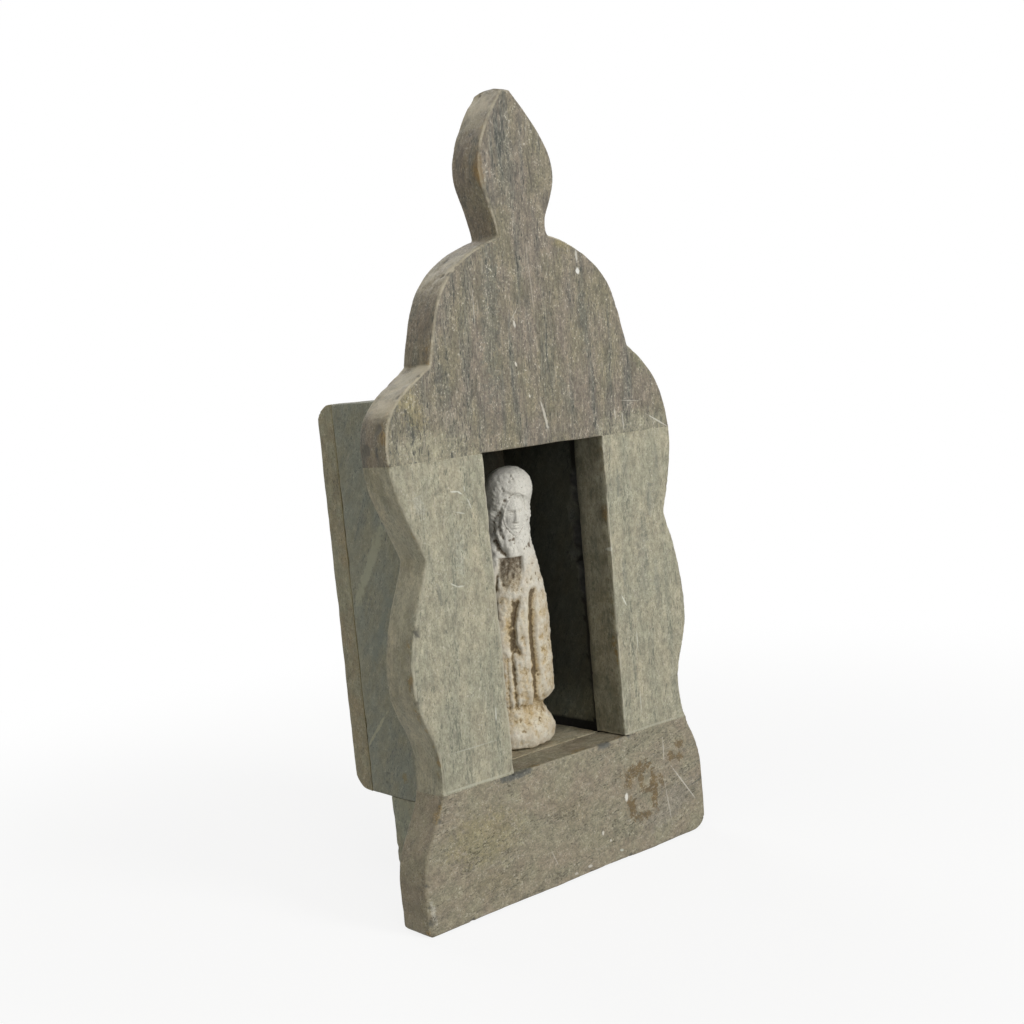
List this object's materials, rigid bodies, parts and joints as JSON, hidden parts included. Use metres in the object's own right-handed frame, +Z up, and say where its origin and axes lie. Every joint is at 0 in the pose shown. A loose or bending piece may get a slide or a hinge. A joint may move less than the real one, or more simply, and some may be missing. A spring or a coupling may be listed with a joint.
{
  "type": "stone oratory",
  "caption": "Small free-standing soapstone oratory: a scalloped front slab with a bud finial, a deep niche box behind its opening, and a carved hooded figure inside.",
  "frame": {"origin": "on the ground, in the middle of the object's width and depth", "axes": "+X to the right seen from the front, +Y to the back, +Z up"},
  "size_m": [0.1688, 0.088, 0.343],
  "materials": {
    "taupe_soapstone": "honed",
    "green_soapstone": "honed",
    "brown_soapstone": "honed",
    "dark_green_soapstone": "honed",
    "olive_soapstone": "honed",
    "cream_stone": "carved, unpolished"
  },
  "bodies": {
    "root": {"head_stone": "taupe_soapstone", "left_post": "green_soapstone", "right_post": "green_soapstone", "base_stone": "brown_soapstone", "left_side_panel": "dark_green_soapstone", "right_side_panel": "dark_green_soapstone", "back_panel": "olive_soapstone", "top_panel": "dark_green_soapstone", "floor_panel": "olive_soapstone", "foot_stone": "dark_green_soapstone", "carved_figure": "cream_stone"}
  },
  "joints": []
}
